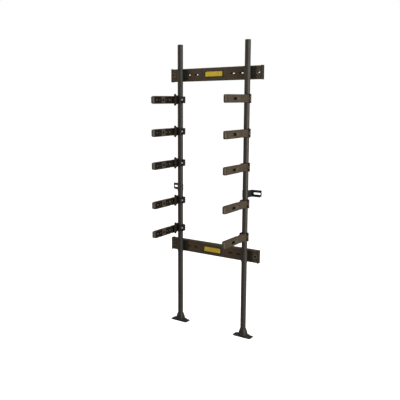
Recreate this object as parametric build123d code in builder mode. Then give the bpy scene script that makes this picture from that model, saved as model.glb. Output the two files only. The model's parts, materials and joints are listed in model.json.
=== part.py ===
"""Wall-fixed storage rack for tool cases, in millimetres.

Two round posts stand on feet and are clipped to two box-section wall rails.
Five pairs of case-support brackets clamp round the posts.  Each bracket is a
split collar that slides along its post, and an arm that folds outward on a
vertical pin.  Frame: Z up from the floor, the wall lies towards +Y, the arms
point to -Y, and the origin is the bottom centre of the rack's box.
"""

import os

from build123d import *

os.makedirs("parts", exist_ok=True)

# ---------------------------------------------------------------- whole rack
rack_height = 1800.0
post_spacing = 484.0
wall_gap = 46.0  # post axis to the wall
arm_reach = 272.0  # post axis to the tip of an arm
post_y = (arm_reach - wall_gap) / 2
wall_y = post_y + wall_gap
half_spacing = post_spacing / 2
sides = {"left": -1, "right": 1}

# ---------------------------------------------------------------- posts
post_radius = 17.0
post_wall = 1.5
post_bottom = 8.0
post_joint = 902.0
cap_thickness = 3.0
plug_clearance = 0.1
plug_radius = post_radius - post_wall - plug_clearance
cap_plug_length = 16.0
cap_round = 1.2
coupler_length = 140.0
coupler_wall = 2.0

# ---------------------------------------------------------------- wall rails
rail_height = 78.0
rail_length = 642.0
rail_front = 18.0  # post axis to the rail's front face
rail_depth = wall_gap - rail_front
rail_wall = 2.5
rail_chamfer = 4.0
rail_centres = {"top": 1615.0, "bottom": 517.0}
rail_y = post_y + rail_front
rail_slot_width = 7.5
narrow_slot_length = 29.0
wall_slot_length = 28.0
wall_slot_x = 305.0
narrow_slot_x = (131.0, 190.5)
end_cap_thickness = 6.0
end_cap_lip = 2.0
end_cap_rim = 3.0
end_cap_recess = 4.0
end_cap_plug = 14.0
end_cap_tongue = 3.0
end_cap_proud = 1.0
end_cap_play = 1.0
badge_length = 132.0
badge_height = 38.0
badge_thickness = 1.6
badge_corner = 5.0
badge_edge = 0.5
cover_length = 164.0
cover_height = 74.0
cover_thickness = 3.0
cover_chamfer = 2.0

# ---------------------------------------------------------------- rail saddles
saddle_height = 70.0
strap_height = 74.0
strap_radius = 19.2
saddle_plate = 4.0
saddle_short = 29.0
saddle_long = 49.0
saddle_bolt_x = 39.0
saddle_bolt_z = 20.0
saddle_hook_x = -25.0
set_screw_z = 28.0
set_screw_radius = 2.0
set_screw_length = 2.0
set_screw_head = 3.6
set_screw_head_height = 1.6
saddle_corner = 6.0
strap_chamfer = 0.8
m6_radius = 3.0
m6_clearance = 3.3
m6_head_radius = 5.5
m6_head_height = 4.0
m6_head_round = 1.5
m6_nut_radius = 5.7
m6_nut_height = 5.0
thread_end = 2.0

# ---------------------------------------------------------------- wall tabs
tab_height = 43.0
tab_thickness = 3.0
tab_ring = 1.6
tab_reach = 86.0  # post axis to the tab's outer end
tab_slot_x = 56.5
tab_slot_length = 49.0
tab_slot_width = 12.0
tab_screw_z = 13.0
tab_screw_radius = 2.0
tab_screw_bore = 2.1
tab_screw_clearance = 2.5
tab_screw_head = 4.2
tab_screw_head_height = 2.4
tab_screw_grip = 6.0
tab_notch = 9.0

# ---------------------------------------------------------------- feet
foot_length = 124.0
foot_width = 50.0
foot_corner = 9.0
foot_plate = 6.0
foot_pad_length = 74.0
foot_pad_width = 46.0
foot_pad_corner = 5.0
foot_pad_top = 12.0
foot_socket_base = 48.0
foot_socket_waist = 45.0
foot_socket_corner = 6.0
foot_waist_z = 25.0
foot_socket_radius = 20.5
foot_top = 50.0
foot_hole_x = 45.0
foot_hole_radius = 3.25
foot_bore_radius = 6.5
foot_bore_depth = 3.0

# ---------------------------------------------------------------- brackets
bracket_heights = {  # collar middles above the floor
    "left": (1462.0, 1264.0, 1064.0, 821.0, 638.0),
    "right": (1465.0, 1265.0, 1064.0, 843.0, 640.0),
}
collar_bore = post_radius + 0.3
collar_radius = 21.5
collar_height = 42.0
clamp_reach = 30.0
clamp_width = 26.0
clamp_corner = 4.0
clamp_slit = 3.0
clamp_bolt_x = -23.2
hinge_x = 25.0
hinge_y = -4.0
knuckle_radius = 5.5
knuckle_clearance = 0.5
knuckle_root_x = 16.0
arm_knuckle_half = 8.7
collar_knuckle_low = 9.5
collar_knuckle_top = 26.0
pin_radius = 2.5
pin_running_clearance = 0.08
pin_fit = 0.02
pin_head_radius = 4.4
pin_head_height = 2.0
pin_tail = 1.0
ear_inner_x = 10.0
ear_outer_x = 16.8
ear_front = -45.0
ear_back = -8.0
ear_height = 37.0
ear_tip = 9.0
ear_corner = 3.0

# ---------------------------------------------------------------- arms
arm_half_height = 23.5
arm_outer_x = 21.5
arm_inner_x = 3.5
arm_web = 4.0
arm_flange = 3.0
arm_root = -14.0
arm_end_wall = -47.0
arm_nose = -257.0
nose_corner = 20.0
nose_round = 8.9
nose_groove_y = -254.5
nose_groove_width = 3.5
nose_groove_depth = 1.0
arm_droop = 1.2  # degrees
arm_chamfer = 5.0
rib_thickness = 3.0
rib_centres = (-62.0, -84.0)
window_centre = -169.0
window_length = 32.0
window_height = 15.0
window_depth = 12.0
window_back_length = 20.0
window_back_height = 12.0
window_back_depth = 3.0
tongue_centre = -130.0
tongue_length = 38.0
tongue_depth = 1.0
tongue_height = 17.0
notch_centre = -95.0
notch_length = 18.0
notch_depth = 2.5
root_overlap = 4.0
root_half_height = 21.5
inner_recess = 2.5
round_pockets = {  # station along the arm: pocket radius, boss radius
    -104.0: (15.5, 9.5),
    -134.5: (12.5, 6.5),
    -203.0: (10.5, 5.0),
    -229.0: (14.0, 7.5),
}
knuckle_link = 4.5
link_root = -18.0


def finish(piece, name):
    """Label one finished piece and write it to its own file."""
    piece.label = name
    export_step(piece, f"parts/{name}.step")


# ================================================================ posts
def make_posts(side_name, side):
    """Lower and upper tube, the coupler inside their joint, and the top cap."""
    post_x = side * half_spacing
    screw_heights = (post_joint + tab_screw_z, post_joint - tab_screw_z)

    with BuildPart() as lower:
        with BuildSketch(Plane.XY.offset(post_bottom)):
            with Locations((post_x, post_y)):
                Circle(post_radius)
                Circle(post_radius - post_wall, mode=Mode.SUBTRACT)
        extrude(amount=post_joint - post_bottom)
        with Locations(Location((post_x, post_y + post_radius, screw_heights[1]), (90, 0, 0))):
            Cylinder(tab_screw_bore, post_radius, mode=Mode.SUBTRACT)
    finish(lower.part, f"post_lower_{side_name}")

    with BuildPart() as upper:
        with BuildSketch(Plane.XY.offset(post_joint)):
            with Locations((post_x, post_y)):
                Circle(post_radius)
                Circle(post_radius - post_wall, mode=Mode.SUBTRACT)
        extrude(amount=rack_height - cap_thickness - post_joint)
        with Locations(Location((post_x, post_y + post_radius, screw_heights[0]), (90, 0, 0))):
            Cylinder(tab_screw_bore, post_radius, mode=Mode.SUBTRACT)
    finish(upper.part, f"post_upper_{side_name}")

    with BuildPart() as coupler:
        with BuildSketch(Plane.XY.offset(post_joint - coupler_length / 2)):
            with Locations((post_x, post_y)):
                Circle(plug_radius)
                Circle(plug_radius - coupler_wall, mode=Mode.SUBTRACT)
        extrude(amount=coupler_length)
        for height in screw_heights:
            with Locations(Location((post_x, post_y + post_radius, height), (90, 0, 0))):
                Cylinder(tab_screw_bore, post_radius, mode=Mode.SUBTRACT)
    finish(coupler.part, f"post_coupler_{side_name}")

    with BuildPart() as cap:
        with BuildSketch(Plane.XY.offset(rack_height - cap_thickness - cap_plug_length)):
            with Locations((post_x, post_y)):
                Circle(plug_radius)
        extrude(amount=cap_plug_length)
        with BuildSketch(Plane.XY.offset(rack_height - cap_thickness)):
            with Locations((post_x, post_y)):
                Circle(post_radius)
        extrude(amount=cap_thickness)
        fillet(cap.edges().group_by(Axis.Z)[-1], cap_round)
    finish(cap.part, f"post_cap_{side_name}")


# ================================================================ feet
def make_foot(side_name, side):
    """Screw-down foot: rounded plate, raised pad and a socket for the post."""
    foot_x = side * half_spacing
    with BuildPart() as foot:
        with BuildSketch():
            with Locations((foot_x, post_y)):
                RectangleRounded(foot_length, foot_width, foot_corner)
        extrude(amount=foot_plate)
        with BuildSketch(Plane.XY.offset(foot_plate)):
            with Locations((foot_x, post_y)):
                RectangleRounded(foot_pad_length, foot_pad_width, foot_pad_corner)
        extrude(amount=foot_pad_top - foot_plate)
        with BuildSketch(Plane.XY.offset(foot_pad_top)):
            with Locations((foot_x, post_y)):
                RectangleRounded(foot_socket_base, foot_socket_base, foot_socket_corner)
        with BuildSketch(Plane.XY.offset(foot_waist_z)):
            with Locations((foot_x, post_y)):
                RectangleRounded(foot_socket_waist, foot_socket_waist, foot_socket_corner)
        loft()
        with BuildSketch(Plane.XY.offset(foot_waist_z)):
            with Locations((foot_x, post_y)):
                RectangleRounded(foot_socket_waist, foot_socket_waist, foot_socket_corner)
        with BuildSketch(Plane.XY.offset(foot_top)):
            with Locations((foot_x, post_y)):
                Circle(foot_socket_radius)
        loft()
        with Locations((foot_x, post_y, foot_top)):
            Hole(post_radius + plug_clearance, depth=foot_top - post_bottom)
        with Locations((foot_x - foot_hole_x, post_y, foot_plate), (foot_x + foot_hole_x, post_y, foot_plate)):
            CounterBoreHole(foot_hole_radius, foot_bore_radius, foot_bore_depth)
    finish(foot.part, f"foot_{side_name}")


# ================================================================ wall rails
def make_rail(rail_name, centre_z):
    """Box-section rail, its push-in end caps, the raised cover plate and the badge on it."""
    narrow_places = [(sign * x, 0) for sign in (-1, 1) for x in narrow_slot_x]
    wall_places = [(-wall_slot_x, 0), (wall_slot_x, 0)]
    bolt_places = [
        (side * half_spacing + saddle_bolt_x, z) for side in (-1, 1) for z in (-saddle_bolt_z, saddle_bolt_z)
    ]
    hook_places = [(side * half_spacing + saddle_hook_x, 0) for side in (-1, 1)]
    section = Plane.YZ.offset(-rail_length / 2)
    inner_depth = rail_depth - 2 * rail_wall
    inner_height = rail_height - 2 * rail_wall

    with BuildPart() as rail:
        with BuildSketch(section):
            with Locations((rail_y + rail_depth / 2, centre_z)):
                Rectangle(rail_depth, rail_height)
        extrude(amount=rail_length)
        long_edges = rail.edges().filter_by(Axis.X)
        chamfer(long_edges.group_by(Axis.Y)[0], rail_chamfer)
        with BuildSketch(section):
            with Locations((rail_y + rail_depth / 2, centre_z)):
                Rectangle(inner_depth, inner_height)
        extrude(amount=rail_length, mode=Mode.SUBTRACT)
        with BuildSketch(Plane.XZ.offset(-wall_y)):
            with Locations((0, centre_z)):
                with Locations(*narrow_places):
                    SlotOverall(narrow_slot_length, rail_slot_width)
                with Locations(*wall_places):
                    SlotOverall(wall_slot_length, rail_slot_width)
        extrude(amount=rail_depth, mode=Mode.SUBTRACT)
        with BuildSketch(Plane.XZ.offset(-rail_y)):
            with Locations((0, centre_z)):
                with Locations(*bolt_places, *hook_places):
                    Circle(m6_clearance)
        extrude(amount=-rail_wall, mode=Mode.SUBTRACT)
    finish(rail.part, f"wall_rail_{rail_name}")

    with BuildPart() as caps:
        for sign in (-1, 1):
            outer_plane = Plane.YZ.offset(sign * (rail_length / 2 + end_cap_thickness))
            cap_centre = (rail_y + (rail_depth - end_cap_proud) / 2, centre_z)
            with BuildSketch(outer_plane):
                with Locations(cap_centre):
                    RectangleRounded(rail_depth + end_cap_proud, rail_height + 2 * end_cap_lip, end_cap_lip)
            extrude(amount=-sign * end_cap_thickness)
            with BuildSketch(Plane.YZ.offset(sign * rail_length / 2)):
                with Locations((rail_y + rail_depth / 2, centre_z)):
                    Rectangle(inner_depth - end_cap_play, inner_height - end_cap_play)
                    Rectangle(rail_depth, rail_height - 2 * (rail_wall + end_cap_tongue), mode=Mode.SUBTRACT)
            extrude(amount=-sign * end_cap_plug)
            with BuildSketch(outer_plane):
                with Locations(cap_centre):
                    Rectangle(rail_depth - 2 * end_cap_rim, rail_height - 2 * end_cap_rim)
            extrude(amount=-sign * end_cap_recess, mode=Mode.SUBTRACT)
    finish(caps.part, f"rail_end_caps_{rail_name}")

    with BuildPart() as cover:
        with BuildSketch(Plane.XZ.offset(-rail_y)):
            with Locations((0, centre_z)):
                Rectangle(cover_length, cover_height)
        extrude(amount=cover_thickness)
        chamfer(cover.edges().group_by(Axis.Y)[0], cover_chamfer)
    finish(cover.part, f"rail_cover_{rail_name}")

    with BuildPart() as badge:
        with BuildSketch(Plane.XZ.offset(-rail_y + cover_thickness)):
            with Locations((0, centre_z)):
                RectangleRounded(badge_length, badge_height, badge_corner)
        extrude(amount=badge_thickness)
        fillet(badge.edges().group_by(Axis.Y)[0], badge_edge)
    finish(badge.part, f"rail_badge_{rail_name}")


# ================================================================ saddles
def make_saddle(rail_name, centre_z, side_name, side):
    """Pipe clip that holds a post to a rail: strap, short hook foot, long bolted flange."""
    post_x = side * half_spacing
    flange_x = post_x + (saddle_long - saddle_short) / 2
    with BuildPart() as saddle:
        with BuildSketch(Plane.XY.offset(centre_z - strap_height / 2)):
            with Locations((post_x, post_y)):
                Circle(strap_radius)
        extrude(amount=strap_height)
        chamfer(saddle.edges().filter_by(GeomType.CIRCLE), strap_chamfer)
        with BuildSketch(Plane.XZ.offset(-rail_y)):
            with Locations((post_x, centre_z)):
                Rectangle(2 * strap_radius, strap_height)
        extrude(amount=-strap_radius, mode=Mode.SUBTRACT)
        with BuildSketch(Plane.XZ.offset(-rail_y)):
            with Locations((flange_x, centre_z)):
                RectangleRounded(saddle_long + saddle_short, saddle_height, saddle_corner)
        extrude(amount=saddle_plate)
        with BuildSketch(Plane.XY.offset(centre_z - strap_height / 2)):
            with Locations((post_x, post_y)):
                Circle(post_radius + plug_clearance)
        extrude(amount=strap_height, mode=Mode.SUBTRACT)
        with BuildSketch(Plane.XZ.offset(-rail_y)):
            with Locations((post_x, centre_z)):
                with Locations((saddle_bolt_x, -saddle_bolt_z), (saddle_bolt_x, saddle_bolt_z), (saddle_hook_x, 0)):
                    Circle(m6_clearance)
        extrude(amount=saddle_plate, mode=Mode.SUBTRACT)
        with Locations(Location((post_x, post_y - strap_radius, centre_z + set_screw_z), (90, 0, 0))):
            Cylinder(tab_screw_bore, post_radius, mode=Mode.SUBTRACT)
    finish(saddle.part, f"saddle_{rail_name}_{side_name}")


def make_saddle_fasteners():
    """Bolts, nuts and set screws of the four saddles, as separate solids."""
    with BuildPart() as fasteners:
        for centre_z in rail_centres.values():
            for side in sides.values():
                post_x = side * half_spacing
                flange_face = post_y + rail_front - saddle_plate
                places = [
                    (post_x + saddle_bolt_x, centre_z - saddle_bolt_z),
                    (post_x + saddle_bolt_x, centre_z + saddle_bolt_z),
                    (post_x + saddle_hook_x, centre_z),
                ]
                with BuildSketch(Plane.XZ.offset(-flange_face)):
                    with Locations(*places):
                        RegularPolygon(m6_nut_radius, 6)
                extrude(amount=m6_head_height)
                with BuildSketch(Plane.XZ.offset(-flange_face)):
                    with Locations(*places):
                        Circle(m6_radius)
                extrude(amount=-(saddle_plate + rail_wall + m6_nut_height + thread_end))
                with BuildSketch(Plane.XZ.offset(-(rail_y + rail_wall))):
                    with Locations(*places):
                        RegularPolygon(m6_nut_radius, 6)
                extrude(amount=-m6_nut_height)
                with BuildSketch(Plane.XZ.offset(-(post_y - strap_radius))):
                    with Locations((post_x, centre_z + set_screw_z)):
                        Circle(set_screw_radius)
                extrude(amount=-set_screw_length)
                with BuildSketch(Plane.XZ.offset(-(post_y - strap_radius))):
                    with Locations((post_x, centre_z + set_screw_z)):
                        Circle(set_screw_head)
                extrude(amount=set_screw_head_height)
    finish(fasteners.part, "saddle_fasteners")


# ================================================================ wall tabs
def make_wall_tab(side_name, side):
    """Bent steel tab at the post joint: a ring round the post and a slotted wall plate."""
    post_x = side * half_spacing
    bottom_z = post_joint - tab_height / 2
    plate_length = tab_reach - post_radius
    with BuildPart() as tab:
        with BuildSketch(Plane.XY.offset(bottom_z)):
            with Locations((post_x, post_y)):
                Circle(post_radius + tab_ring)
                with Locations((side * (post_radius + tab_thickness / 2), wall_gap / 2)):
                    Rectangle(tab_thickness, wall_gap)
                with Locations((side * (post_radius + plate_length / 2), wall_gap - tab_thickness / 2)):
                    Rectangle(plate_length, tab_thickness)
                Circle(post_radius + plug_clearance, mode=Mode.SUBTRACT)
        extrude(amount=tab_height)
        with BuildSketch(Plane.XZ.offset(-wall_y)):
            with Locations((post_x + side * tab_slot_x, post_joint)):
                SlotOverall(tab_slot_length, tab_slot_width)
            with Locations((post_x + side * tab_reach, bottom_z)):
                Rectangle(2 * tab_notch, tab_notch)
        extrude(amount=tab_thickness, mode=Mode.SUBTRACT)
        for sign in (-1, 1):
            with Locations(Location((post_x, post_y + post_radius, post_joint + sign * tab_screw_z), (90, 0, 0))):
                Cylinder(tab_screw_clearance, post_radius, mode=Mode.SUBTRACT)
    finish(tab.part, f"wall_tab_{side_name}")


def make_tab_screws():
    """Pan-head screws that hold the wall tabs to the posts, as separate solids."""
    head_face = post_y + post_radius + tab_ring
    places = [
        (side * half_spacing, post_joint + sign * tab_screw_z) for side in sides.values() for sign in (-1, 1)
    ]
    with BuildPart() as screws:
        with BuildSketch(Plane.XZ.offset(-head_face)):
            with Locations(*places):
                Circle(tab_screw_radius)
        extrude(amount=tab_ring + tab_screw_grip)
        with BuildSketch(Plane.XZ.offset(-head_face)):
            with Locations(*places):
                Circle(tab_screw_head)
        extrude(amount=-tab_screw_head_height)
    finish(screws.part, "wall_tab_screws")


# ================================================================ bracket masters
def make_collar_master():
    """Right-hand split collar about the post axis, centred on Z."""
    pin_place = (hinge_x, hinge_y)
    with BuildPart() as collar:
        with BuildSketch(Plane.XY.offset(-collar_height / 2)):
            Circle(collar_radius)
            with Locations((-clamp_reach / 2, 0)):
                Rectangle(clamp_reach, clamp_width)
        extrude(amount=collar_height)
        lug_corners = collar.edges().filter_by(Axis.Y).group_by(Axis.X)[0]
        fillet(lug_corners, clamp_corner)
        with BuildSketch(Plane.YZ.offset(ear_inner_x)):
            with BuildLine():
                Polyline(
                    (ear_back, -collar_height / 2),
                    (ear_front + 2 * ear_tip, -ear_height + ear_tip),
                    (ear_front + ear_tip, -ear_height),
                    (ear_front, -ear_height + ear_corner),
                    (ear_front, ear_height - ear_corner),
                    (ear_front + ear_tip, ear_height),
                    (ear_front + 2 * ear_tip, ear_height - ear_tip),
                    (ear_back, collar_height / 2),
                    close=True,
                )
            make_face()
        extrude(amount=ear_outer_x - ear_inner_x)
        for low in (collar_knuckle_low, -collar_knuckle_top):
            with BuildSketch(Plane.XY.offset(low)):
                with Locations(pin_place):
                    Circle(knuckle_radius)
                with Locations(((knuckle_root_x + hinge_x) / 2, hinge_y)):
                    Rectangle(hinge_x - knuckle_root_x, 2 * knuckle_radius)
            extrude(amount=collar_knuckle_top - collar_knuckle_low)
        with BuildSketch(Plane.XY.offset(-ear_height)):
            Circle(collar_bore)
            with Locations((-clamp_reach, 0)):
                Rectangle(clamp_reach, clamp_slit)
        extrude(amount=2 * ear_height, mode=Mode.SUBTRACT)
        with BuildSketch(Plane.XY.offset(-collar_knuckle_low)):
            with Locations(pin_place):
                Circle(knuckle_radius + knuckle_clearance)
        extrude(amount=2 * collar_knuckle_low, mode=Mode.SUBTRACT)
        with Locations(pin_place):
            Hole(pin_radius + pin_fit)
        with Locations(Location((clamp_bolt_x, 0, 0), (90, 0, 0))):
            Hole(m6_clearance)
    return collar.part


def make_arm_beam():
    """Beam of the right-hand arm: closed outer face, ribs and round pockets inside."""
    arm_width = arm_outer_x - arm_inner_x
    middle_x = (arm_inner_x + arm_outer_x) / 2
    beam_length = arm_reach + arm_end_wall
    beam_centre = -(arm_reach - arm_end_wall) / 2
    pocket_height = 2 * (arm_half_height - arm_flange)
    window_wall = window_length / 2 + rib_thickness
    deep_pockets = (
        (arm_end_wall - rib_thickness, rib_centres[0] + rib_thickness / 2),
        (rib_centres[0] - rib_thickness / 2, rib_centres[1] + rib_thickness / 2),
    )
    shallow_pockets = (
        (rib_centres[1] - rib_thickness / 2, window_centre + window_wall),
        (window_centre - window_wall, arm_nose),
    )

    with BuildPart() as beam:
        with BuildSketch(Plane.XZ.offset(-arm_end_wall)):
            with Locations((middle_x, 0)):
                section = Rectangle(arm_width, 2 * arm_half_height)
            chamfer(section.vertices().group_by(Axis.X)[-1], arm_chamfer)
        extrude(amount=beam_length)
        with BuildSketch(Plane.YZ):
            with Locations((beam_centre, 0)):
                elevation = Rectangle(beam_length, 2 * arm_half_height)
            fillet(elevation.vertices().group_by(Axis.X)[0], nose_corner)
        extrude(amount=arm_outer_x, mode=Mode.INTERSECT)
        with BuildSketch(Plane.XY.offset(-arm_half_height)):
            with Locations((middle_x, beam_centre)):
                plan = Rectangle(arm_width, beam_length)
            fillet(plan.vertices().group_by(Axis.Y)[0], nose_round)
        extrude(amount=2 * arm_half_height, mode=Mode.INTERSECT)

        for pockets, depth in ((deep_pockets, arm_width - arm_web), (shallow_pockets, inner_recess)):
            for rear, front in pockets:
                with BuildSketch(Plane.YZ.offset(arm_inner_x)):
                    with Locations(((rear + front) / 2, 0)):
                        Rectangle(rear - front, pocket_height)
                extrude(amount=depth, mode=Mode.SUBTRACT)
        for centre, (pocket_radius, boss_radius) in round_pockets.items():
            with BuildSketch(Plane.YZ.offset(arm_inner_x + inner_recess)):
                with Locations((centre, 0)):
                    Circle(pocket_radius)
                    Circle(boss_radius, mode=Mode.SUBTRACT)
            extrude(amount=arm_width - arm_web - inner_recess, mode=Mode.SUBTRACT)

        with BuildSketch(Plane.YZ.offset(arm_outer_x)):
            with Locations((window_centre, 0)):
                Rectangle(window_length, window_height)
        extrude(amount=-window_depth, mode=Mode.SUBTRACT)
        with BuildSketch(Plane.YZ.offset(arm_inner_x)):
            with Locations((window_centre, 0)):
                Rectangle(window_back_length, window_back_height)
        extrude(amount=window_back_depth, mode=Mode.SUBTRACT)
        with BuildSketch(Plane.YZ.offset(arm_outer_x)):
            with Locations((tongue_centre, 0)):
                Rectangle(tongue_length, tongue_height)
        extrude(amount=-tongue_depth, mode=Mode.SUBTRACT)
        with BuildSketch(Plane.YZ.offset(arm_outer_x)):
            with Locations((nose_groove_y, 0)):
                Rectangle(nose_groove_width, 2 * arm_half_height)
        extrude(amount=-nose_groove_depth, mode=Mode.SUBTRACT)
        for sign in (-1, 1):
            with BuildSketch(Plane.YZ.offset(arm_inner_x)):
                with Locations((notch_centre, sign * arm_half_height)):
                    Rectangle(notch_length, 2 * notch_depth)
            extrude(amount=arm_width, mode=Mode.SUBTRACT)

        root_length = arm_root - arm_end_wall + root_overlap
        with BuildSketch(Plane.YZ.offset(arm_outer_x - arm_web)):
            with Locations((arm_root - root_length / 2, 0)):
                Rectangle(root_length, 2 * root_half_height)
        extrude(amount=arm_web)
    return beam.part


def make_arm_master():
    """Right-hand arm: the beam, tilted down a little, joined to its hinge knuckle."""
    droop = Location((0, arm_root, 0), (arm_droop, 0, 0)) * Location((0, -arm_root, 0))
    link_length = hinge_y - link_root
    with BuildPart() as arm:
        with Locations(droop):
            add(make_arm_beam())
        with BuildSketch(Plane.XY.offset(-arm_knuckle_half)):
            with Locations((hinge_x, hinge_y)):
                Circle(knuckle_radius)
            with Locations((hinge_x - knuckle_link / 2, hinge_y - link_length / 2)):
                Rectangle(knuckle_link, link_length)
        extrude(amount=2 * arm_knuckle_half)
        with Locations((hinge_x, hinge_y)):
            Hole(pin_radius + pin_running_clearance)
    return arm.part


def make_hardware_master():
    """Right-hand bracket hardware: hinge pin, clamp bolt and clamp nut."""
    with BuildPart() as hardware:
        with BuildSketch(Plane.XY.offset(-collar_knuckle_top - pin_tail)):
            with Locations((hinge_x, hinge_y)):
                Circle(pin_radius)
        extrude(amount=2 * collar_knuckle_top + pin_tail)
        with BuildSketch(Plane.XY.offset(collar_knuckle_top)):
            with Locations((hinge_x, hinge_y)):
                Circle(pin_head_radius)
        extrude(amount=pin_head_height)
        with BuildSketch(Plane.XZ.offset(clamp_width / 2)):
            with Locations((clamp_bolt_x, 0)):
                Circle(m6_head_radius)
        extrude(amount=m6_head_height)
        fillet(hardware.edges().group_by(Axis.Y)[0], m6_head_round)
        with BuildSketch(Plane.XZ.offset(clamp_width / 2)):
            with Locations((clamp_bolt_x, 0)):
                Circle(m6_radius)
        extrude(amount=-(clamp_width + m6_nut_height + thread_end))
        with BuildSketch(Plane.XZ.offset(-clamp_width / 2)):
            with Locations((clamp_bolt_x, 0)):
                RegularPolygon(m6_nut_radius, 6)
        extrude(amount=-m6_nut_height)
    return hardware.part


def place_brackets(masters):
    """Write one collar, arm and hardware set for each bracket of both posts."""
    for side_name, side in sides.items():
        for kind, master in masters.items():
            handed = master if side > 0 else mirror(master, about=Plane.YZ)
            for level, height in enumerate(bracket_heights[side_name], start=1):
                with BuildPart() as placed:
                    with Locations((side * half_spacing, post_y, height)):
                        add(handed)
                finish(placed.part, f"{kind}_{side_name}_{level}")


for side_name, side in sides.items():
    make_posts(side_name, side)
    make_foot(side_name, side)
    make_wall_tab(side_name, side)
for rail_name, centre_z in rail_centres.items():
    make_rail(rail_name, centre_z)
    for side_name, side in sides.items():
        make_saddle(rail_name, centre_z, side_name, side)
make_saddle_fasteners()
make_tab_screws()
place_brackets(
    {
        "collar": make_collar_master(),
        "arm": make_arm_master(),
        "hardware": make_hardware_master(),
    }
)
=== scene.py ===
"""Looks of the wall-fixed storage rack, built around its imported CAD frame.

Lengths are in metres. The moulded and bent CAD nodes are shown as copies with rounded edges, and the others
as they are.
"""

import json
import math

import bmesh
import bpy
from mathutils import Matrix, Vector


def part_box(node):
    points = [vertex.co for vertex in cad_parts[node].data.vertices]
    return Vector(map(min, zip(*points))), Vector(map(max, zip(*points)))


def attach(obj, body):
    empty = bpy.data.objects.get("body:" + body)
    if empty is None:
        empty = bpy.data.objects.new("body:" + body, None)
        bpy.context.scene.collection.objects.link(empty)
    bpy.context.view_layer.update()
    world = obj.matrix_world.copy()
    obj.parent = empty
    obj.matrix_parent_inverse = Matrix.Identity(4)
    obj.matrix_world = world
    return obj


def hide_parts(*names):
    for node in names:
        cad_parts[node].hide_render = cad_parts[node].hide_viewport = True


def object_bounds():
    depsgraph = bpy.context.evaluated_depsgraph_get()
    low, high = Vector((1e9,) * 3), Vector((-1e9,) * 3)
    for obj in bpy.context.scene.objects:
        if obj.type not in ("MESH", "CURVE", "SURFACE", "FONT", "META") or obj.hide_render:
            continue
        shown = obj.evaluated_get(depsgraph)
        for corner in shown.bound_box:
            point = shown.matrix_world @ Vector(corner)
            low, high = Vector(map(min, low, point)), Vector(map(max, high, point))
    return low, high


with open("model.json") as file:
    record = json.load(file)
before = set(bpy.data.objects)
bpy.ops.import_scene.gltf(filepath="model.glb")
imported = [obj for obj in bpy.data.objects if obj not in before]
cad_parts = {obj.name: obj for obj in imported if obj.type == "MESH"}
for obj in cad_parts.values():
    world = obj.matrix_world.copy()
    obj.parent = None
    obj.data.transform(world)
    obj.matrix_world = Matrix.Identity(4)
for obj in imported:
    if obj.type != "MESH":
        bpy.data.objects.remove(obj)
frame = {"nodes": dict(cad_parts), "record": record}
cad_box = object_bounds()

SIDES = {"left": -1, "right": 1}
RAILS = ("top", "bottom")


def post_axis(side):
    """Where the axis of a post meets the floor."""
    low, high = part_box(f"post_upper_{side}")
    return Vector(((low.x + high.x) / 2, (low.y + high.y) / 2, 0))


def post_radius():
    """Outer radius of the post tubes."""
    low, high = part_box("post_upper_right")
    return (high.x - low.x) / 2


POSTS = {side: post_axis(side) for side in SIDES}
STRAP_REACH = post_radius() + 0.0026  # outside of the straps and rings round the posts
WALL_SLOT_X = 0.305  # the rails' outermost slots, from the middle of the rack


# ---------------------------------------------------------------- materials
# Grain of each kind of surface: noise scale per metre, and depth of its relief.
PAINT_GRAIN = (1500, 0.00012)
RUBBED_PAINT_GRAIN = (1500, 0.0001)
PLASTIC_GRAIN = (2200, 0.00015)
RUBBED_PLASTIC_GRAIN = (2200, 0.0001)
COVER_GRAIN = (2000, 0.00012)
PRINT_GRAIN = (900, 0.00008)

SPECKLE_SHARE = 0.45  # scale of the speckle in the colour, as a share of the grain's
SPECKLED_TONES = (0.8, 1.2)  # sum of blotches and speckle that gives the dark and the light colour
ROUGHNESS_SPREAD = 0.08
GRAIN_STRENGTH = 0.35
STREAKS = (1.0, 1.0, 0.12)  # blotches drawn out along Z

TURNING_SCALE = (400, 400, 2600)
TURNING_TONES = (0.3, 0.7)
TURNING_ROUGHNESS = (-0.07, 0.09)


def shader_graph(name):
    """A new material, its links, its Principled shader, and a short way to add nodes."""
    material = bpy.data.materials.new(name)
    material.use_nodes = True
    tree = material.node_tree
    bsdf = tree.nodes["Principled BSDF"]

    def add(kind, **values):
        node = tree.nodes.new(kind)
        for key, value in values.items():
            if key in node.inputs:
                node.inputs[key].default_value = value
            else:
                setattr(node, key, value)
        return node

    return material, tree.links, bsdf, add


def colour_ramp(add, dark, light, positions=(0.0, 1.0)):
    """A ramp node from a dark to a light colour."""
    node = add("ShaderNodeValToRGB")
    for element, colour, position in zip(node.color_ramp.elements, (dark, light), positions):
        element.position = position
        element.color = (*colour, 1)
    return node


def map_range(add, **limits):
    """A node that maps one range to another; limits such as to_min are its inputs."""
    node = add("ShaderNodeMapRange")
    for key, value in limits.items():
        node.inputs[key.replace("_", " ").title()].default_value = value
    return node


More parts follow.
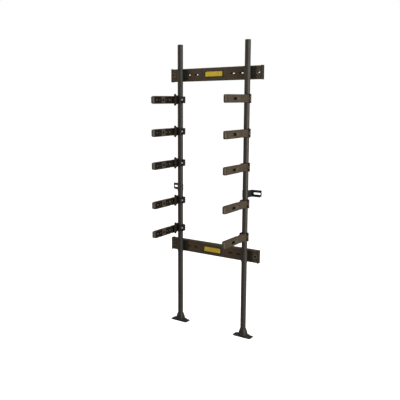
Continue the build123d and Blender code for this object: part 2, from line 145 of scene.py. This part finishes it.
def coated(name, dark, light, roughness, grain, blotch, specular=0.5, stretch=(1, 1, 1)):
    """Paint or moulded plastic: blotches and a fine speckle in its colour, and a fine grain in relief."""
    material, links, bsdf, add = shader_graph(name)
    grain_scale, grain_depth = grain
    where = add("ShaderNodeTexCoord")
    drawn = add("ShaderNodeMapping", Scale=stretch)
    links.new(where.outputs["Object"], drawn.inputs["Vector"])
    tone = add("ShaderNodeTexNoise", Scale=blotch, Detail=4.0, Roughness=0.6)
    links.new(drawn.outputs["Vector"], tone.inputs["Vector"])
    speckle = add("ShaderNodeTexNoise", Scale=grain_scale * SPECKLE_SHARE, Detail=2.0)
    links.new(where.outputs["Object"], speckle.inputs["Vector"])
    both = add("ShaderNodeMath", operation="ADD")
    links.new(tone.outputs["Fac"], both.inputs[0])
    links.new(speckle.outputs["Fac"], both.inputs[1])
    spread = map_range(add, from_min=SPECKLED_TONES[0], from_max=SPECKLED_TONES[1])
    links.new(both.outputs[0], spread.inputs["Value"])
    colours = colour_ramp(add, dark, light)
    links.new(spread.outputs["Result"], colours.inputs["Fac"])
    links.new(colours.outputs["Color"], bsdf.inputs["Base Color"])
    rough = map_range(add, to_min=roughness - ROUGHNESS_SPREAD, to_max=roughness + ROUGHNESS_SPREAD)
    links.new(tone.outputs["Fac"], rough.inputs["Value"])
    links.new(rough.outputs["Result"], bsdf.inputs["Roughness"])
    relief = add("ShaderNodeTexNoise", Scale=grain_scale, Detail=2.0, Roughness=0.5)
    links.new(where.outputs["Object"], relief.inputs["Vector"])
    bump = add("ShaderNodeBump", Strength=GRAIN_STRENGTH, Distance=grain_depth)
    links.new(relief.outputs["Fac"], bump.inputs["Height"])
    links.new(bump.outputs["Normal"], bsdf.inputs["Normal"])
    bsdf.inputs["Specular IOR Level"].default_value = specular
    return material


def turned_metal(name, dark, light, roughness, metallic=1.0):
    """Zinc-plated or blackened steel with fine turning marks."""
    material, links, bsdf, add = shader_graph(name)
    where = add("ShaderNodeTexCoord")
    stretch = add("ShaderNodeMapping", Scale=TURNING_SCALE)
    links.new(where.outputs["Object"], stretch.inputs["Vector"])
    marks = add("ShaderNodeTexNoise", Scale=1.0, Detail=3.0)
    links.new(stretch.outputs["Vector"], marks.inputs["Vector"])
    colours = colour_ramp(add, dark, light, TURNING_TONES)
    links.new(marks.outputs["Fac"], colours.inputs["Fac"])
    links.new(colours.outputs["Color"], bsdf.inputs["Base Color"])
    rough = map_range(add, to_min=roughness + TURNING_ROUGHNESS[0], to_max=roughness + TURNING_ROUGHNESS[1])
    links.new(marks.outputs["Fac"], rough.inputs["Value"])
    links.new(rough.outputs["Result"], bsdf.inputs["Roughness"])
    bump = add("ShaderNodeBump", Strength=0.2, Distance=0.0001)
    links.new(marks.outputs["Fac"], bump.inputs["Height"])
    links.new(bump.outputs["Normal"], bsdf.inputs["Normal"])
    bsdf.inputs["Metallic"].default_value = metallic
    return material


def plastic(name, dark, light, roughness, blotch, specular=0.5):
    """A moulded plastic."""
    return coated(name, dark, light, roughness, PLASTIC_GRAIN, blotch, specular)


def paint(name, dark, light, roughness, blotch, specular=0.5, stretch=(1, 1, 1)):
    """Powder coat on steel."""
    return coated(name, dark, light, roughness, PAINT_GRAIN, blotch, specular, stretch)


def printed(name, dark, light, roughness):
    """A badge's colour, with a faint mottle and orange-peel relief."""
    return coated(name, dark, light, roughness, PRINT_GRAIN, blotch=35)


POST_PAINT = paint("post_paint", (0.026, 0.023, 0.016), (0.050, 0.045, 0.032), 0.52, 60, stretch=STREAKS)
RAIL_PAINT = paint("rail_paint", (0.082, 0.053, 0.028), (0.122, 0.082, 0.048), 0.50, 12, 0.3)
COVER_PLASTIC = coated(
    "cover_plastic", (0.062, 0.047, 0.030), (0.092, 0.072, 0.048), 0.46, COVER_GRAIN, 16, 0.4
)
# The slot seats' own paint, made paler than the rail paint as a painted highlight where the dished rings
# catch the light.
SEAT_PAINT_AND_HIGHLIGHT = coated("seat_paint_and_highlight", (0.13, 0.105, 0.085), (0.19, 0.16, 0.13), 0.40, RUBBED_PAINT_GRAIN, 60)
TAB_PAINT = paint("tab_paint", (0.014, 0.014, 0.017), (0.022, 0.022, 0.026), 0.45, 20)
ARM_PLASTIC = plastic("arm_plastic", (0.053, 0.038, 0.022), (0.086, 0.064, 0.039), 0.55, 30, 0.4)
# Paler copy of the arm plastic: painted light on the nose ends and latch tongues.
ARM_TIP_PAINTED_LIGHT = plastic("arm_tip_painted_light", (0.070, 0.055, 0.041), (0.110, 0.088, 0.068), 0.50, 30, 0.4)
# Near-black copy of the arm plastic: painted shade in the arms' pockets, window and groove.
ARM_PAINTED_SHADE = plastic("arm_painted_shade", (0.006, 0.005, 0.004), (0.013, 0.011, 0.009), 0.62, 30, 0.25)
COLLAR_PLASTIC = plastic("collar_plastic", (0.008, 0.007, 0.006), (0.016, 0.014, 0.012), 0.48, 30)
SADDLE_PLASTIC = plastic("saddle_plastic", (0.016, 0.016, 0.013), (0.027, 0.027, 0.022), 0.50, 25)
FOOT_PLASTIC = plastic("foot_plastic", (0.022, 0.020, 0.016), (0.040, 0.036, 0.030), 0.48, 25)
CAP_PLASTIC = plastic("cap_plastic", (0.024, 0.021, 0.018), (0.038, 0.034, 0.029), 0.50, 25)
BLACK_STEEL = turned_metal("black_steel", (0.05, 0.05, 0.05), (0.10, 0.10, 0.10), 0.38)
ZINC = turned_metal("zinc", (0.72, 0.72, 0.70), (0.92, 0.92, 0.90), 0.30, metallic=0.25)
BADGE_YELLOW = printed("badge_yellow", (0.84, 0.56, 0.03), (0.95, 0.68, 0.06), 0.34)
BADGE_BLACK = printed("badge_black", (0.030, 0.020, 0.006), (0.045, 0.032, 0.010), 0.38)

# Rounded edges: the same finishes, rubbed paler in patches.
ARM_EDGE = coated(
    "arm_edge", (0.070, 0.053, 0.034), (0.150, 0.120, 0.088), 0.46, RUBBED_PLASTIC_GRAIN, 45, 0.4
)
COLLAR_EDGE = coated(
    "collar_edge", (0.012, 0.010, 0.009), (0.036, 0.032, 0.028), 0.40, RUBBED_PLASTIC_GRAIN, 60
)
SADDLE_EDGE = coated(
    "saddle_edge", (0.018, 0.018, 0.015), (0.048, 0.046, 0.040), 0.42, RUBBED_PLASTIC_GRAIN, 60
)
FOOT_EDGE = coated(
    "foot_edge", (0.034, 0.030, 0.024), (0.090, 0.082, 0.068), 0.40, RUBBED_PLASTIC_GRAIN, 50
)
RAIL_EDGE = coated(
    "rail_edge", (0.090, 0.060, 0.035), (0.170, 0.130, 0.095), 0.42, RUBBED_PAINT_GRAIN, 30, 0.4
)
TAB_EDGE = coated("tab_edge", (0.020, 0.020, 0.023), (0.070, 0.070, 0.074), 0.36, RUBBED_PAINT_GRAIN, 60)

SLOT_MATERIALS = {
    "post_paint": POST_PAINT,
    "rail_paint": RAIL_PAINT,
    "tab_paint": TAB_PAINT,
    "arm_plastic": ARM_PLASTIC,
    "collar_plastic": COLLAR_PLASTIC,
    "saddle_plastic": SADDLE_PLASTIC,
    "foot_plastic": FOOT_PLASTIC,
    "cap_plastic": CAP_PLASTIC,
    "black_steel": BLACK_STEEL,
    "zinc": ZINC,
    "badge": BADGE_BLACK,
}


def dress(obj, material):
    """Give every face of an object one material."""
    obj.data.materials.clear()
    obj.data.materials.append(material)


# ---------------------------------------------------------------- mesh helpers
def link_mesh(name, bm, materials, body):
    """Turn a bmesh into a piece that rides on a body; its faces' indices choose among the materials."""
    mesh = bpy.data.meshes.new(name)
    for material in materials:
        mesh.materials.append(material)
    bmesh.ops.recalc_face_normals(bm, faces=bm.faces)
    bm.to_mesh(mesh)
    bm.free()
    piece = bpy.data.objects.new(name, mesh)
    bpy.context.scene.collection.objects.link(piece)
    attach(piece, body)
    return piece


def smooth_faces(mesh, sharp_angle):
    """Shade a mesh smooth, but for edges sharper than an angle in degrees."""
    for face in mesh.polygons:
        face.use_smooth = True
    mesh.set_sharp_from_angle(angle=math.radians(sharp_angle))


def join_loops(bm, low, high):
    """A band of four-sided faces between two closed loops of as many points."""
    for first in range(len(low)):
        second = (first + 1) % len(low)
        bm.faces.new((low[first], low[second], high[second], high[first]))


def bake_modifiers(piece):
    """Apply all modifiers of a piece to its mesh."""
    bpy.context.view_layer.update()
    graph = bpy.context.evaluated_depsgraph_get()
    piece.data = bpy.data.meshes.new_from_object(piece.evaluated_get(graph))
    piece.modifiers.clear()


# ---------------------------------------------------------------- CAD nodes
SLOT_OF = {entry["node"]: entry["material_slot"] for entry in frame["record"]["subparts"]}


def material_of(node):
    """The material of a CAD node: its slot's, but for the cover plates, which have their own."""
    return COVER_PLASTIC if node.startswith("rail_cover_") else SLOT_MATERIALS[SLOT_OF[node]]


for cad_node in SLOT_OF:
    dress(frame["nodes"][cad_node], material_of(cad_node))

# How wide each kind of node's edges are rounded, and their finish.
SHELL_EDGES = {
    "arm": (0.0009, ARM_EDGE),
    "collar": (0.0008, COLLAR_EDGE),
    "saddle": (0.0006, SADDLE_EDGE),
    "foot": (0.0009, FOOT_EDGE),
    "wall_rail": (0.0007, RAIL_EDGE),
    "rail_cover": (0.0005, RAIL_EDGE),
    "rail_end_caps": (0.0006, COLLAR_EDGE),
    "wall_tab": (0.0004, TAB_EDGE),
}
FASTENER_NODES = ("saddle_fasteners", "wall_tab_screws")  # start like a kind above, but keep their CAD mesh

MERGE_DISTANCE = 1e-6
FLAT_ANGLE = 0.5  # degrees: faces that turn less than this are joined
ROUNDED_ANGLE = 32  # degrees: edges sharper than this are rounded
SHELL_SHARP_ANGLE = 40  # degrees: edges that stay sharper than this are shaded sharp
EDGE_SEGMENTS = 2


def soften(node, width, edge, body, paints=()):
    """A copy of a CAD node with its sharp edges rounded, shown in the node's place.

    Each paint is a material and a test that picks its faces by their centres, before flat areas are joined.
    """
    bm = bmesh.new()
    bm.from_mesh(frame["nodes"][node].data)
    bmesh.ops.remove_doubles(bm, verts=bm.verts, dist=MERGE_DISTANCE)
    for face in bm.faces:
        face.material_index = 0
        centre = face.calc_center_median()
        for index, (_, chosen) in enumerate(paints, start=1):
            if chosen(centre):
                face.material_index = index
    bmesh.ops.dissolve_limit(
        bm,
        angle_limit=math.radians(FLAT_ANGLE),
        verts=bm.verts,
        edges=bm.edges,
        use_dissolve_boundaries=False,
        delimit={"MATERIAL"},
    )
    materials = [material_of(node)] + [material for material, _ in paints] + [edge]
    piece = link_mesh(f"{node}_shell", bm, materials, body)
    rounding = piece.modifiers.new("rounding", "BEVEL")
    rounding.width = width
    rounding.segments = EDGE_SEGMENTS
    rounding.limit_method = "ANGLE"
    rounding.angle_limit = math.radians(ROUNDED_ANGLE)
    rounding.use_clamp_overlap = True
    rounding.material = len(materials) - 1
    bake_modifiers(piece)
    smooth_faces(piece.data, SHELL_SHARP_ANGLE)
    shading = piece.modifiers.new("shading", "WEIGHTED_NORMAL")
    shading.keep_sharp = True
    bake_modifiers(piece)
    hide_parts(node)


# Places on an arm, in the CAD model's terms.
ARM_DROOP = math.radians(1.2)
# Ahead of the post's axis: the hinge end, the beam's start, the solid nose's start.
ARM_ROOT = 0.014
ARM_BEAM = 0.0495
ARM_SOLID = 0.2572
# Outward of the post's axis: the rims' and bosses' inner faces, the skin's inner and outer faces.
ARM_RIM_FACE = 0.0037
ARM_BOSS_FACE = 0.0063
ARM_SKIN = 0.0177
ARM_FACE = 0.0213
# Up or down from the middle line: the rims' inner sides, the window's half height.
ARM_RIM = 0.0207
WINDOW_HALF = 0.0077
# From and to, ahead of the post's axis.
WINDOW = (0.1525, 0.1855)
GROOVE = (0.2525, 0.2565)
TONGUE = (0.1108, 0.1492)
# Distance ahead and radius of each round boss in the pockets.
BOSSES = {0.104: 0.0097, 0.1345: 0.0067, 0.203: 0.0052, 0.229: 0.0077}


def arm_paints(body):
    """Painted shade in the dark pockets, window and groove, and painted light on a paler tip and tongue."""
    side = body.split("_")[2]
    joints = frame["record"]["behaviour"]["joints"]
    hinge = next(joint for joint in joints if joint["child"] == body)
    post, level = POSTS[side], hinge["pos_m"][2]

    def place(point):
        ahead = post.y - point.y
        sunk = math.tan(ARM_DROOP) * (ahead - ARM_ROOT)
        return abs(point.x) - abs(post.x), ahead, point.z - level + sunk

    def on_boss(across, ahead, up):
        return across < ARM_BOSS_FACE and any(math.hypot(ahead - at, up) < r for at, r in BOSSES.items())

    # Faces that get painted shade: the pockets except their bosses, the window and the groove.
    def is_painted_shade(point):
        across, ahead, up = place(point)
        between_rims = abs(up) < ARM_RIM and ARM_BEAM < ahead < ARM_SOLID
        in_pocket = ARM_RIM_FACE < across < ARM_SKIN and between_rims and not on_boss(across, ahead, up)
        in_skin = ARM_SKIN <= across < ARM_FACE
        in_window = in_skin and abs(up) < WINDOW_HALF and WINDOW[0] < ahead < WINDOW[1]
        in_groove = in_skin and GROOVE[0] < ahead < GROOVE[1]
        return in_pocket or in_window or in_groove

    # Faces that get painted light: the solid nose and the latch tongue.
    def is_painted_light(point):
        across, ahead, up = place(point)
        at_tongue = TONGUE[0] < ahead < TONGUE[1] and abs(up) < ARM_RIM / 2
        return ahead > ARM_SOLID or (at_tongue and ARM_SKIN < across < ARM_FACE)

    return ((ARM_PAINTED_SHADE, is_painted_shade), (ARM_TIP_PAINTED_LIGHT, is_painted_light))


def near_post(point):
    """Whether a point is on a strap or ring close round one of the posts."""
    return any(
        math.hypot(point.x - post.x, point.y - post.y) < STRAP_REACH for post in POSTS.values()
    )


def round_cad_edges():
    """Show the moulded and bent CAD nodes with softly rounded edges."""
    for body, nodes in frame["record"]["behaviour"]["bodies"].items():
        for node in nodes:
            kind = next((kind for kind in SHELL_EDGES if node.startswith(kind + "_")), None)
            if kind is None or node in FASTENER_NODES:
                continue
            paints = ()
            if kind == "arm":
                paints = arm_paints(body)
            elif kind in ("saddle", "wall_tab"):
                paints = ((POST_PAINT, near_post),)
            soften(node, *SHELL_EDGES[kind], body, paints)


round_cad_edges()


# ---------------------------------------------------------------- added detail
# Outlines of the badge face: width, height, corner radius, how far out of the badge.
BADGE_RINGS = (
    (0.1200, 0.0290, 0.0045, -0.0004),
    (0.1200, 0.0290, 0.0045, 0.0005),
    (0.1190, 0.0280, 0.0040, 0.0010),
    (0.1150, 0.0240, 0.0030, 0.0010),
    (0.1144, 0.0234, 0.0028, 0.0006),
    (0.1128, 0.0218, 0.0024, 0.0006),
    (0.1122, 0.0212, 0.0022, 0.0010),
)
CORNER_STEPS = 6

# Profile of a slot seat: radius, how far out of the rail.
SEAT_PROFILE = (
    (0.0145, -0.0002),
    (0.0140, 0.0010),
    (0.0125, 0.0016),
    (0.0110, 0.0010),
    (0.0085, -0.0002),
)
SEAT_STEPS = 32
SEAT_SHARP_ANGLE = 35  # degrees


def rounded_outline(width, height, radius):
    """Points of a rounded rectangle about the origin, counter-clockwise."""
    points = []
    for sign_x, sign_z, start in ((1, 1, 0), (-1, 1, 90), (-1, -1, 180), (1, -1, 270)):
        for step in range(CORNER_STEPS + 1):
            turn = math.radians(start + 90 * step / CORNER_STEPS)
            x = sign_x * (width / 2 - radius) + radius * math.cos(turn)
            z = sign_z * (height / 2 - radius) + radius * math.sin(turn)
            points.append((x, z))
    return points


def make_badge_faces():
    """Plain raised yellow plate on each dark badge, with a fine groove inside its edge."""
    for rail in RAILS:
        low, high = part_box(f"rail_badge_{rail}")
        middle_x, middle_z = (low.x + high.x) / 2, (low.z + high.z) / 2
        bm = bmesh.new()
        loops = []
        for width, height, radius, out in BADGE_RINGS:
            outline = rounded_outline(width, height, radius)
            loops.append([bm.verts.new((middle_x + x, low.y - out, middle_z + z)) for x, z in outline])
        for inner, outer in zip(loops, loops[1:]):
            join_loops(bm, inner, outer)
        bm.faces.new(loops[0])
        bm.faces.new(loops[-1])
        link_mesh(f"badge_face_{rail}", bm, [BADGE_YELLOW], "root")


def make_slot_seats():
    """Dished ring round each wall-screw slot near the rails' ends."""
    for rail in RAILS:
        low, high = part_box(f"wall_rail_{rail}")
        middle_z = (low.z + high.z) / 2
        for side, sign in SIDES.items():
            bm = bmesh.new()
            loops = []
            for radius, out in SEAT_PROFILE:
                turns = [2 * math.pi * step / SEAT_STEPS for step in range(SEAT_STEPS)]
                loops.append([
                    bm.verts.new((
                        sign * WALL_SLOT_X + radius * math.cos(turn),
                        low.y - out,
                        middle_z + radius * math.sin(turn),
                    ))
                    for turn in turns
                ])
            for inner, outer in zip(loops, loops[1:] + loops[:1]):
                join_loops(bm, inner, outer)
            piece = link_mesh(f"slot_seat_{rail}_{side}", bm, [SEAT_PAINT_AND_HIGHLIGHT], "root")
            smooth_faces(piece.data, SEAT_SHARP_ANGLE)


make_badge_faces()
make_slot_seats()


# ---------------------------------------------------------------- camera, lights, stage
AMBIENT_STRENGTH = 0.26
LIT_POINT = (0, 0.1, 0.95)
# Place, width, height, power in watts and colour of each lamp.
LAMPS = {
    "key": ((3.8, -0.35, 1.2), 2.4, 3.0, 135, (1.0, 0.97, 0.92)),
    "rim": ((-3.0, -1.2, 2.0), 0.6, 2.0, 14, (0.95, 0.97, 1.0)),
    "overhead": ((0.4, -0.8, 4.0), 1.6, 1.6, 28, (1, 1, 1)),
}
FLOOR_SIZE = 30
FLOOR_GAP = 0.0005


def set_camera():
    """Camera at the right front, a little above the middle of the rack, as fitted to the photo."""
    azimuth, pitch, roll = math.radians(34.71), math.radians(9.24), math.radians(0.19)
    place = Vector((1.885, POSTS["right"].y - 2.897, 1.386))
    camera = bpy.data.cameras.new("camera")
    camera.sensor_width = 36.0
    camera.lens = 50.15
    camera.shift_x = 0.011
    camera.shift_y = 0.00675
    view = bpy.data.objects.new("camera", camera)
    turn = Matrix.Rotation(azimuth, 4, "Z") @ Matrix.Rotation(math.pi / 2 - pitch, 4, "X")
    view.matrix_world = Matrix.Translation(place) @ turn @ Matrix.Rotation(roll, 4, "Z")
    bpy.context.scene.collection.objects.link(view)
    bpy.context.scene.camera = view


def set_lamps():
    """Soft rectangular lamps that point at the rack: a large key at the right, and fills."""
    for name, (place, width, height, power, colour) in LAMPS.items():
        lamp = bpy.data.lights.new(name, "AREA")
        lamp.shape = "RECTANGLE"
        lamp.size = width
        lamp.size_y = height
        lamp.energy = power
        lamp.color = colour
        holder = bpy.data.objects.new(name, lamp)
        holder.location = place
        aim = Vector(LIT_POINT) - Vector(place)
        holder.rotation_euler = aim.to_track_quat("-Z", "Y").to_euler()
        bpy.context.scene.collection.objects.link(holder)


def set_world():
    """Surroundings that look white to the camera, but light the rack only weakly."""
    world = bpy.data.worlds.new("studio")
    world.use_nodes = True
    nodes, links = world.node_tree.nodes, world.node_tree.links
    seen = nodes["Background"]
    seen.inputs["Color"].default_value = (1, 1, 1, 1)
    seen.inputs["Strength"].default_value = 1.0
    ambient = nodes.new("ShaderNodeBackground")
    ambient.inputs["Color"].default_value = (1.0, 0.97, 0.93, 1)
    ambient.inputs["Strength"].default_value = AMBIENT_STRENGTH
    path = nodes.new("ShaderNodeLightPath")
    choice = nodes.new("ShaderNodeMixShader")
    links.new(path.outputs["Is Camera Ray"], choice.inputs["Fac"])
    links.new(ambient.outputs["Background"], choice.inputs[1])
    links.new(seen.outputs["Background"], choice.inputs[2])
    links.new(choice.outputs["Shader"], nodes["World Output"].inputs["Surface"])
    bpy.context.scene.world = world


def make_floor():
    """A wide pale floor just under the feet, bright enough to meet the white surroundings."""
    bm = bmesh.new()
    bmesh.ops.create_grid(bm, x_segments=8, y_segments=8, size=FLOOR_SIZE)
    mesh = bpy.data.meshes.new("floor")
    bm.to_mesh(mesh)
    bm.free()
    floor = bpy.data.objects.new("floor", mesh)
    floor.location.z = cad_box[0][2] - FLOOR_GAP
    floor.visible_diffuse = False
    floor.visible_glossy = False
    bpy.context.scene.collection.objects.link(floor)
    material, links, bsdf, add = shader_graph("floor")
    where = add("ShaderNodeTexCoord")
    mottle = add("ShaderNodeTexNoise", Scale=3.0, Detail=3.0)
    links.new(where.outputs["Object"], mottle.inputs["Vector"])
    colours = colour_ramp(add, (0.88, 0.88, 0.88), (0.92, 0.92, 0.92))
    links.new(mottle.outputs["Fac"], colours.inputs["Fac"])
    links.new(colours.outputs["Color"], bsdf.inputs["Base Color"])
    links.new(colours.outputs["Color"], bsdf.inputs["Emission Color"])
    bsdf.inputs["Emission Strength"].default_value = 1.0
    bsdf.inputs["Roughness"].default_value = 0.9
    bsdf.inputs["Specular IOR Level"].default_value = 0.1
    dress(floor, material)


set_camera()
set_world()
set_lamps()
make_floor()
bpy.context.scene.view_settings.view_transform = "Standard"
